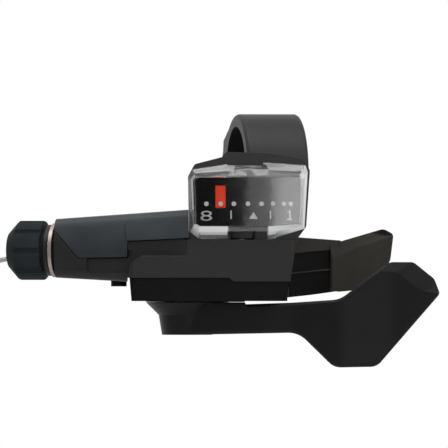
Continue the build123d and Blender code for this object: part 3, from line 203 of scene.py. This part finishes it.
def moulded(
    name, rgb, rough, gloss=0.3, depth=0.00003, edge=0.00018,
    upper=None, split=(0.0, 1.0), across=(0.0, 0.0, 1.0),
):
    """Moulded plastic: fine spark-eroded grain, faint flow marks and softly rounded edges.

    Past a split plane, across which one direction points, the colour turns to that of the upper part.
    """
    n = Nodes(name)
    place = n.add("ShaderNodeTexCoord")
    flow = n.add("ShaderNodeTexNoise", Scale=FLOW_SCALE, Detail=3.0, Roughness=0.55)
    n.join(place, "Object", flow, "Vector")
    spark = n.add("ShaderNodeTexNoise", Scale=SPARK_SCALE, Detail=4.0, Roughness=0.7)
    n.join(place, "Object", spark, "Vector")
    tone = n.ramp(flow, "Fac", [(0.25, tint(rgb, 0.84)), (0.75, tint(rgb, 1.18))])
    finish = tone.outputs["Color"]
    if upper is not None:
        above = n.ramp(flow, "Fac", [(0.25, tint(upper, 0.86)), (0.75, tint(upper, 1.15))])
        reach = n.along(place, "Object", across)
        height = n.remap(reach, "Value", *split)
        mix = n.add("ShaderNodeMix", data_type="RGBA")
        n.join(height, "Result", mix, "Factor")
        n.tree.links.new(finish, mix.inputs[MIX_COLOUR_A])
        n.tree.links.new(above.outputs["Color"], mix.inputs[MIX_COLOUR_B])
        finish = mix.outputs[MIX_COLOUR_RESULT]
    n.tree.links.new(finish, n.shader.inputs["Base Color"])
    polish = n.ramp(spark, "Fac", [(0.3, grey(rough - 0.06)), (0.7, grey(rough + 0.08))])
    n.join(polish, "Color", n.shader, "Roughness")
    soft = n.add("ShaderNodeBevel", samples=4, Radius=edge)
    bump = n.add("ShaderNodeBump", Strength=0.5, Distance=depth)
    n.join(spark, "Fac", bump, "Height")
    n.join(soft, "Normal", bump, "Normal")
    n.join(bump, "Normal", n.shader, "Normal")
    n.set(Specular_IOR_Level=gloss)
    return n.material


def metal(name, rgb, rough, streak=(900.0, 900.0, 60.0)):
    """Turned or drawn metal with fine streaks."""
    n = Nodes(name)
    place = n.add("ShaderNodeTexCoord")
    turn = n.add("ShaderNodeMapping", Scale=streak)
    n.join(place, "Object", turn, "Vector")
    lines = n.add("ShaderNodeTexNoise", Scale=6.0, Detail=5.0, Roughness=0.65)
    n.join(turn, "Vector", lines, "Vector")
    tone = n.ramp(lines, "Fac", [(0.3, tint(rgb, 0.8)), (0.7, tint(rgb, 1.12))])
    n.join(tone, "Color", n.shader, "Base Color")
    polish = n.ramp(lines, "Fac", [(0.3, grey(rough - 0.07)), (0.7, grey(rough + 0.09))])
    n.join(polish, "Color", n.shader, "Roughness")
    soft = n.add("ShaderNodeBevel", samples=4, Radius=0.0001)
    bump = n.add("ShaderNodeBump", Strength=0.3, Distance=0.00001)
    n.join(lines, "Fac", bump, "Height")
    n.join(soft, "Normal", bump, "Normal")
    n.join(bump, "Normal", n.shader, "Normal")
    n.set(Metallic=1.0)
    return n.material


def stranded(name, rgb):
    """Steel strands laid round the cable, drawn on the curve's own map."""
    n = Nodes(name)
    place = n.add("ShaderNodeTexCoord")
    lay = n.add("ShaderNodeMapping", Scale=(320.0, 7.0, 1.0))
    n.join(place, "UV", lay, "Vector")
    wave = n.add("ShaderNodeTexWave", bands_direction="DIAGONAL", Scale=1.0, Distortion=0.0)
    n.join(lay, "Vector", wave, "Vector")
    grain = n.add("ShaderNodeTexNoise", Scale=1800.0, Detail=3.0)
    n.join(place, "Object", grain, "Vector")
    tone = n.ramp(wave, "Fac", [(0.1, tint(rgb, 0.42)), (0.6, tint(rgb, 1.0))])
    n.join(tone, "Color", n.shader, "Base Color")
    polish = n.ramp(grain, "Fac", [(0.3, grey(0.28)), (0.7, grey(0.42))])
    n.join(polish, "Color", n.shader, "Roughness")
    bump = n.add("ShaderNodeBump", Strength=0.7, Distance=0.00008)
    n.join(wave, "Fac", bump, "Height")
    n.join(bump, "Normal", n.shader, "Normal")
    n.set(Metallic=1.0)
    return n.material


# The window: how far a face looks to the front to be polished, and how clear its sides are, from the
# lower right to the upper left; the extra milkiness of the lower right sides is painted light
FRONT_POLISH = (0.74, 0.92)
UPPER_LEFT = (-0.6, 0.0, 0.8)
SIDE_SPAN = (-0.6, 0.6)
SIDE_CLEAR = (0.2, 0.95)
# Its clips, along its width, in millimetres, and how clear they are
CLIP_MIDDLE = -4.5
CLIP_HALF = 4.9
CLIP_BLEND = 0.3
CLIP_CLEAR = 0.94


def clear_plastic(name):
    """The clear window: polished in front and at its clips.

    Its sides are milky, and more so below and on the right, so that they render bright there: the extra
    milkiness is painted light standing in for light through the window's edges.
    """
    n = Nodes(name)
    place = n.add("ShaderNodeTexCoord")
    haze = n.add("ShaderNodeTexNoise", Scale=220.0, Detail=2.0)
    n.join(place, "Object", haze, "Vector")
    faces = n.add("ShaderNodeNewGeometry")
    front = n.along(faces, "Normal", (0.0, -1.0, 0.0))
    polished = n.remap(n.size_of(front), "Value", *FRONT_POLISH)
    # Painted light: sides that face down and to the right lose clearness and show the white base colour
    # as a bright band
    sides = n.along(faces, "Normal", UPPER_LEFT)
    slope = n.remap(sides, "Value", *SIDE_SPAN, *SIDE_CLEAR)
    across = n.along(place, "Object", (1.0, 0.0, 0.0))
    aside = n.add("ShaderNodeMath", operation="SUBTRACT")
    aside.inputs[1].default_value = CLIP_MIDDLE * MM
    n.join(across, "Value", aside, 0)
    near, far = (CLIP_HALF - CLIP_BLEND) * MM, (CLIP_HALF + CLIP_BLEND) * MM
    clips = n.remap(n.size_of(aside), "Value", near, far, CLIP_CLEAR, 0.0)
    thin = n.add("ShaderNodeMath", operation="MAXIMUM")
    n.join(clips, "Result", thin, 0)
    n.join(slope, "Result", thin, 1)
    clear = n.add("ShaderNodeMath", operation="MAXIMUM")
    n.join(polished, "Result", clear, 0)
    n.join(thin, "Value", clear, 1)
    n.join(clear, "Value", n.shader, "Transmission Weight")
    polish = n.ramp(haze, "Fac", [(0.3, grey(0.012)), (0.8, grey(0.024))])
    n.join(polish, "Color", n.shader, "Roughness")
    bump = n.add("ShaderNodeBump", Strength=0.015, Distance=0.00005)
    n.join(haze, "Fac", bump, "Height")
    soft = n.add("ShaderNodeBevel", samples=4, Radius=0.00025)
    n.join(soft, "Normal", bump, "Normal")
    n.join(bump, "Normal", n.shader, "Normal")
    n.set(Base_Color=(0.96, 0.97, 0.96, 1.0), IOR=1.585)
    return n.material


def printed(name, rgb):
    """Ink, slightly uneven in tone."""
    n = Nodes(name)
    place = n.add("ShaderNodeTexCoord")
    fleck = n.add("ShaderNodeTexNoise", Scale=4000.0, Detail=3.0)
    n.join(place, "Object", fleck, "Vector")
    tone = n.ramp(fleck, "Fac", [(0.2, tint(rgb, 0.85)), (0.7, tint(rgb, 1.05))])
    n.join(tone, "Color", n.shader, "Base Color")
    n.set(Roughness=0.6)
    return n.material


def dress(material, *names):
    """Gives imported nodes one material."""
    for name in names:
        slots = NODES[name].data.materials
        slots.clear()
        slots.append(material)


def finish_mesh(bm, name, material, body):
    """Turns a bmesh into a piece that rides on a body."""
    mesh = bpy.data.meshes.new(name)
    bm.to_mesh(mesh)
    bm.free()
    piece = bpy.data.objects.new(name, mesh)
    bpy.context.scene.collection.objects.link(piece)
    mesh.materials.append(material)
    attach(piece, body)


class SHIFTER_OT_mouldings(Operator):
    """Finishes of the plastic mouldings"""

    bl_idname = "shifter.mouldings"
    bl_label = "Finish mouldings"

    # Where one colour of a moulding turns to the other, in metres, and the way that the release lever's
    # sunk arm front faces, which is coloured near-black as painted shade
    HOOD_SPLIT = (-0.0165, -0.0155)
    # Painted shade: the nose cover turns to its darker colour below this height
    NOSE_SHADE_SPLIT = (-0.0190, -0.0130)
    RECESS_SHADE_SPLIT = (0.00030, 0.00050)
    RECESS_FRONT = (0.2425, -0.9701, 0.0)

    def execute(self, context):
        f = finishes()
        housing = moulded(
            "housing black", f.skirt, 0.46, gloss=0.22, edge=0.0003, upper=f.clamp, split=self.HOOD_SPLIT
        )
        dress(housing, "main_housing")
        # The nose cover's lower part gets the darker colour as painted shade, and its top the lighter one
        nose = moulded(
            "nose cover black", f.nose_shade, 0.44, gloss=0.16, upper=f.nose, split=self.NOSE_SHADE_SPLIT
        )
        dress(nose, "nose_cover")
        dress(moulded("base black", f.base, 0.44, gloss=0.05), "base_cover", "port_plug")
        pull = moulded("pull lever black", f.lever, 0.42, gloss=0.14, depth=0.00002, edge=0.0005)
        dress(pull, "pull_lever")
        # The release lever's sunk arm front is coloured near-black as painted shade, and the pad in front
        # keeps the release colour
        release = moulded(
            "release lever black", f.recess_shade, 0.44, gloss=0.07, edge=0.0004, upper=f.release,
            split=self.RECESS_SHADE_SPLIT, across=self.RECESS_FRONT,
        )
        dress(release, "release_lever")
        dress(moulded("adjuster black", f.knob, 0.5, gloss=0.02), "adjuster_knob")
        dress(moulded("collar black", f.base, 0.5), "detent_collar", "coil_tie")
        dress(moulded("spool grey", f.spool, 0.5), "cable_spool")
        return {"FINISHED"}


class SHIFTER_OT_metal(Operator):
    """Finishes of the steel and aluminium pieces"""

    bl_idname = "shifter.metal"
    bl_label = "Finish metal"

    def execute(self, context):
        f = finishes()
        steel = metal("bright steel", f.steel, 0.34)
        dress(
            steel, "clamp_bolt", "clamp_nut", "base_screws", "spool_axle", "spool_spacer", "ratchet_ring",
            "spool_spring", "lever_axle", "drive_arm", "pull_pawl", "pull_pawl_pin", "pull_spring",
            "hold_pawl", "hold_pin", "hold_spring", "release_spring", "detent_spring", "cable_head",
        )
        dress(metal("ring metal", f.ring, 0.46), "detent_ring", "end_cap")
        dress(metal("cable steel", f.cable, 0.36, (60.0, 900.0, 900.0)), "cable_run")
        return {"FINISHED"}


class SHIFTER_OT_dial(Operator):
    """Window, dial card, pointer and the printed scale"""

    bl_idname = "shifter.dial"
    bl_label = "Make dial"

    # Places on the dial, in millimetres square to the rider's view
    DOTS = (-14.55, -11.1, -7.93, -4.53, -1.25, 1.47, 4.12, 5.73)
    DOT_Z = -7.66
    FACE_Y = -28.5
    LABEL_HIGH = -9.35
    LABEL_LOW = -11.75
    EIGHT = (-15.95, -13.2)
    EIGHT_STROKE = -0.004
    ONE = (
        (5.8, -9.2), (5.8, -11.2), (6.25, -11.2), (6.25, -11.6), (4.9, -11.6), (4.9, -11.2),
        (5.36, -11.2), (5.36, -9.75), (4.95, -9.95), (4.95, -9.55), (5.45, -9.2),
    )
    TICKS = (-8.6, 0.9)
    TICK_HALF = 0.15
    TICK_HIGH = -9.3
    TICK_LOW = -11.3
    TRIANGLE = ((-3.2, -9.6), (-2.15, -11.3), (-4.25, -11.3))
    DOT_SIDES = 24

    def plate(self, bm, points):
        """A flat printed shape from its corners."""
        bm.faces.new([bm.verts.new(Vector((x * MM, self.FACE_Y * MM, z * MM))) for x, z in points])

    def number(self, bm, text, left, right, stroke):
        """A dial number fitted between two sides, its strokes made heavier or lighter."""
        curve = bpy.data.curves.new("dial number", "FONT")
        curve.body = text
        curve.fill_mode = "FRONT"
        curve.offset = stroke
        holder = bpy.data.objects.new("dial number", curve)
        mesh = bpy.data.meshes.new_from_object(holder)
        low = Vector((min(v.co.x for v in mesh.vertices), min(v.co.y for v in mesh.vertices)))
        high = Vector((max(v.co.x for v in mesh.vertices), max(v.co.y for v in mesh.vertices)))
        for vertex in mesh.vertices:
            u = (vertex.co.x - low.x) / (high.x - low.x)
            v = (vertex.co.y - low.y) / (high.y - low.y)
            vertex.co = Vector((
                (left + u * (right - left)) * MM,
                self.FACE_Y * MM,
                (self.LABEL_LOW + v * (self.LABEL_HIGH - self.LABEL_LOW)) * MM,
            ))
        bm.from_mesh(mesh)
        bpy.data.meshes.remove(mesh)
        bpy.data.objects.remove(holder)
        bpy.data.curves.remove(curve)

    def execute(self, context):
        f, s = finishes(), sizes()
        dress(clear_plastic("clear window"), "window_lens")
        dress(moulded("dial card black", f.dial, 0.55, gloss=0.05), "dial_panel", "pointer_arm")
        dress(moulded("flag orange", f.flag, 0.4, gloss=0.06, depth=0.00001), "pointer_flag")
        bm = bmesh.new()
        upright = Matrix.Rotation(math.radians(90), 4, "X")
        for x in self.DOTS:
            spot = Matrix.Translation(Vector((x * MM, self.FACE_Y * MM, self.DOT_Z * MM))) @ upright
            bmesh.ops.create_circle(
                bm, cap_ends=True, segments=self.DOT_SIDES, radius=s.dot / 2, matrix=spot
            )
        self.number(bm, "8", *self.EIGHT, self.EIGHT_STROKE)
        self.plate(bm, self.ONE)
        for x in self.TICKS:
            left, right = x - self.TICK_HALF, x + self.TICK_HALF
            top, foot = self.TICK_HIGH, self.TICK_LOW
            self.plate(bm, [(left, top), (right, top), (right, foot), (left, foot)])
        self.plate(bm, self.TRIANGLE)
        bmesh.ops.remove_doubles(bm, verts=bm.verts, dist=1e-7)
        bmesh.ops.recalc_face_normals(bm, faces=bm.faces)
        bmesh.ops.solidify(bm, geom=bm.faces[:], thickness=s.print_depth)
        bmesh.ops.recalc_face_normals(bm, faces=bm.faces)
        bmesh.ops.transform(bm, matrix=TO_BAR, verts=bm.verts)
        finish_mesh(bm, "dial_print", printed("dial print", f.mark), "housing")
        return {"FINISHED"}


class SHIFTER_OT_cable(Operator):
    """The free end of the inner cable: straight out of the adjuster, then a tied coil"""

    bl_idname = "shifter.cable"
    bl_label = "Make cable"

    # The route, in millimetres square to the rider's view; the coil has its own three directions
    TAIL = ((-61.977, -10.119, -20.763), (-68.769, -8.425, -22.248), (-76.046, -6.611, -24.624))
    MIDDLE = (-81.124, -5.345, -39.584)
    ALONG = (-0.8586, 0.2141, -0.4658)
    DOWN = (0.452, -0.1127, -0.8849)
    ACROSS = (-0.2419, -0.9703, 0.0)
    POINTS_PER_TURN = 16
    FIRST_POINT = 0.02
    SECTION = 3.2
    PITCH = 1.16
    ROWS_EACH_WAY = 3
    LANES_EACH_WAY = 4
    # Parts of a turn after which the cable moves over to its next lane
    CHANGE = 0.6
    LAST_CHANGE = 0.5
    CHANGE_SPAN = 0.4
    CAP_SIDE = 4.69
    CAP_LEAD = ((7.4, 1.6), (4.6, 0.0), (1.5, 0.0))
    LAST_TURN = 0.82

    def lanes(self, count):
        """Places of the turns in the bundle, row by row, each beside the one before it."""
        rows = []
        step = self.PITCH * math.sqrt(3) / 2
        reach = range(-self.LANES_EACH_WAY, self.LANES_EACH_WAY + 1)
        for r in range(-self.ROWS_EACH_WAY, self.ROWS_EACH_WAY + 1):
            shift = self.PITCH / 2 if r % 2 else 0.0
            row = [(k * self.PITCH + shift, r * step) for k in reach]
            row = [p for p in row if math.hypot(*p) <= self.SECTION]
            rows.append(row if len(rows) % 2 else row[::-1])
        places = [p for row in rows for p in row]
        return places[-count:]

    def coil_point(self, turn, radial, sideways):
        """A point of the coil: turns counted from the top, offsets in millimetres."""
        radius = sizes().coil_radius / MM + radial
        # The curve runs inside its control points, which therefore stand further out
        radius /= 0.75 + 0.25 * math.cos(2 * math.pi / self.POINTS_PER_TURN)
        angle = 2 * math.pi * turn
        place = Vector(self.MIDDLE)
        place += Vector(self.ALONG) * radius * math.sin(angle)
        place -= Vector(self.DOWN) * radius * math.cos(angle)
        return place + Vector(self.ACROSS) * sideways

    def wound(self, turns):
        """The turns of the coil, and the last one led over to the end cap beside it."""
        lanes = self.lanes(turns + 1) + [(0.0, self.CAP_SIDE)]
        points = []
        for turn in range(turns + 1):
            for k in range(self.POINTS_PER_TURN):
                part = k / self.POINTS_PER_TURN
                if turn == turns and part > self.LAST_TURN:
                    break
                change = self.LAST_CHANGE if turn == turns else self.CHANGE
                slide = min(max(0.0, (part - change) / self.CHANGE_SPAN), 1.0)
                here, there = lanes[turn], lanes[turn + 1]
                radial = here[0] + (there[0] - here[0]) * slide
                sideways = here[1] + (there[1] - here[1]) * slide
                points.append(self.coil_point(turn + part + self.FIRST_POINT, radial, sideways))
        top = Vector(self.MIDDLE) - Vector(self.DOWN) * sizes().coil_radius / MM
        top += Vector(self.ACROSS) * self.CAP_SIDE
        for back, below in self.CAP_LEAD:
            points.append(top - Vector(self.ALONG) * back + Vector(self.DOWN) * below)
        return points

    def execute(self, context):
        f, s = finishes(), sizes()
        route = [Vector(p) for p in self.TAIL] + self.wound(s.turns)
        curve = bpy.data.curves.new("inner_cable", "CURVE")
        curve.dimensions = "3D"
        curve.bevel_depth = s.cable / 2
        curve.bevel_resolution = 2
        curve.resolution_u = 3
        curve.use_fill_caps = True
        spline = curve.splines.new("NURBS")
        spline.points.add(len(route) - 1)
        for point, place in zip(spline.points, route):
            point.co = (*at(*place), 1.0)
        spline.order_u = 3
        spline.use_endpoint_u = True
        piece = bpy.data.objects.new("inner_cable", curve)
        context.scene.collection.objects.link(piece)
        curve.materials.append(stranded("stranded steel", f.cable))
        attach(piece, "housing")
        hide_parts("cable_tail", "cable_coil")
        return {"FINISHED"}


class SHIFTER_OT_stage(Operator):
    """Camera, soft light and a pale floor"""

    bl_idname = "shifter.stage"
    bl_label = "Make stage"

    # The camera: the picture's middle in millimetres, the distance in metres
    PIXELS = 448
    PIXELS_PER_MM = 4.15
    MIDDLE_X = -10.31
    MIDDLE_Z = -12.53
    NEAR_Y = -26.0
    DISTANCE = 4.0
    SENSOR = 36.0
    # Strengths of the even light and of what a mirror sees in front, and where the backdrop starts
    AMBIENT = 0.3
    CAMERA_SIDE = 0.06
    BACKDROP_START = -0.6
    BACKDROP_FULL = 0.3
    # Lamps: name, place and target in millimetres, size in metres, power in watts
    AIM = (-10.0, -15.0, -15.0)
    LAMPS = (
        ("top softbox", (-60.0, -160.0, 430.0), AIM, (0.5, 0.35), 2.2),
        ("front softbox", (1264.0, -4300.0, 300.0), (1264.0, 0.0, 300.0), (2.5, 2.5), 62.0),
        ("softbox rim", (7.0, -4300.0, 300.0), (7.0, 0.0, 300.0), (0.0133, 2.5), 0.08),
        ("left fill", (-900.0, -600.0, 150.0), AIM, (0.6, 0.6), 2.0),
        ("right fill", (620.0, -520.0, 560.0), AIM, (0.6, 0.6), 3.2),
    )
    FLOOR_MIDDLE = (-10.0, -10.0, -78.0)
    FLOOR_SIZE = 0.12
    FLOOR_TONE = 0.86

    def camera(self, context):
        view = bpy.data.cameras.new("photo view")
        view.sensor_width = self.SENSOR
        view.lens = self.SENSOR * self.DISTANCE / (self.PIXELS / self.PIXELS_PER_MM * MM)
        view.clip_start = 0.01
        view.clip_end = 20.0
        holder = bpy.data.objects.new("photo view", view)
        context.scene.collection.objects.link(holder)
        target = at(self.MIDDLE_X, self.NEAR_Y, self.MIDDLE_Z)
        outward = heading(0.0, -1.0, 0.0)
        holder.location = target + outward * self.DISTANCE
        holder.rotation_euler = (-outward).to_track_quat("-Z", "Y").to_euler()
        context.scene.camera = holder

    def lamp(self, context, name, place, target, size, power):
        data = bpy.data.lights.new(name, "AREA")
        data.shape = "RECTANGLE"
        data.size, data.size_y = size
        data.energy = power
        holder = bpy.data.objects.new(name, data)
        context.scene.collection.objects.link(holder)
        spot = at(*place)
        holder.location = spot
        holder.rotation_euler = (at(*target) - spot).to_track_quat("-Z", "Y").to_euler()

    def studio_light(self, tree):
        """One even light, white where it is seen.

        Reflections and the window show a white backdrop, dark in front.
        """
        path = tree.nodes.new("ShaderNodeLightPath")
        place = tree.nodes.new("ShaderNodeTexCoord")
        away = tree.nodes.new("ShaderNodeVectorMath")
        away.operation = "DOT_PRODUCT"
        away.inputs[1].default_value = heading(0.0, 1.0, 0.0)
        tree.links.new(place.outputs["Generated"], away.inputs[0])
        mirrored = tree.nodes.new("ShaderNodeMapRange")
        mirrored.interpolation_type = "SMOOTHSTEP"
        mirrored.inputs["From Min"].default_value = self.BACKDROP_START
        mirrored.inputs["From Max"].default_value = self.BACKDROP_FULL
        mirrored.inputs["To Max"].default_value = 1.0
        through = tree.nodes.new("ShaderNodeMath")
        through.operation = "MAXIMUM"
        through.use_clamp = True
        through.inputs[1].default_value = self.CAMERA_SIDE
        tree.links.new(path.outputs["Diffuse Depth"], through.inputs[0])
        tree.links.new(through.outputs[0], mirrored.inputs["To Min"])
        tree.links.new(away.outputs["Value"], mirrored.inputs["Value"])
        bent = tree.nodes.new("ShaderNodeMath")
        bent.operation = "MAXIMUM"
        tree.links.new(path.outputs["Is Glossy Ray"], bent.inputs[0])
        tree.links.new(path.outputs["Is Transmission Ray"], bent.inputs[1])
        glossy = tree.nodes.new("ShaderNodeMix")
        glossy.inputs["A"].default_value = self.AMBIENT
        tree.links.new(bent.outputs[0], glossy.inputs["Factor"])
        tree.links.new(mirrored.outputs["Result"], glossy.inputs["B"])
        seen = tree.nodes.new("ShaderNodeMix")
        seen.inputs["B"].default_value = 1.0
        tree.links.new(path.outputs["Is Camera Ray"], seen.inputs["Factor"])
        tree.links.new(glossy.outputs["Result"], seen.inputs["A"])
        sky = tree.nodes["Background"]
        sky.inputs["Color"].default_value = grey(1.0)
        tree.links.new(seen.outputs["Result"], sky.inputs["Strength"])

    def execute(self, context):
        scene = context.scene
        scene.view_settings.view_transform = "Standard"
        self.camera(context)
        world = bpy.data.worlds.new("studio")
        scene.world = world
        world.use_nodes = True
        self.studio_light(world.node_tree)
        for name, place, target, size, power in self.LAMPS:
            self.lamp(context, name, place, target, size, power)
        bm = bmesh.new()
        bmesh.ops.create_grid(bm, x_segments=1, y_segments=1, size=self.FLOOR_SIZE)
        bmesh.ops.translate(bm, verts=bm.verts, vec=at(*self.FLOOR_MIDDLE))
        mesh = bpy.data.meshes.new("floor")
        bm.to_mesh(mesh)
        bm.free()
        floor = bpy.data.objects.new("floor", mesh)
        scene.collection.objects.link(floor)
        n = Nodes("pale floor")
        n.set(Base_Color=grey(self.FLOOR_TONE), Roughness=0.85)
        mesh.materials.append(n.material)
        return {"FINISHED"}


class SHIFTER_PT_panel(Panel):
    """Lists the shifter's pieces and sizes"""

    bl_idname = "SHIFTER_PT_panel"
    bl_label = "Gear shifter"
    bl_space_type = "VIEW_3D"
    bl_region_type = "UI"
    bl_category = "Shifter"

    def draw(self, context):
        layout = self.layout
        for operator in OPERATORS:
            layout.operator(operator.bl_idname)
        for group in (finishes(), sizes()):
            column = layout.column()
            for name in group.__annotations__:
                column.prop(group, name)


OPERATORS = (
    SHIFTER_OT_stage,
    SHIFTER_OT_cable,
    SHIFTER_OT_mouldings,
    SHIFTER_OT_metal,
    SHIFTER_OT_dial,
)
CLASSES = (ShifterFinishes, ShifterSizes) + OPERATORS + (SHIFTER_PT_panel,)


def register():
    for cls in CLASSES:
        bpy.utils.register_class(cls)
    bpy.types.Scene.shifter_finishes = PointerProperty(type=ShifterFinishes)
    bpy.types.Scene.shifter_sizes = PointerProperty(type=ShifterSizes)


def unregister():
    del bpy.types.Scene.shifter_finishes
    del bpy.types.Scene.shifter_sizes
    for cls in reversed(CLASSES):
        bpy.utils.unregister_class(cls)


def main():
    register()
    bpy.ops.shifter.stage()
    bpy.ops.shifter.cable()
    bpy.ops.shifter.mouldings()
    bpy.ops.shifter.metal()
    bpy.ops.shifter.dial()


if __name__ == "__main__":
    main()
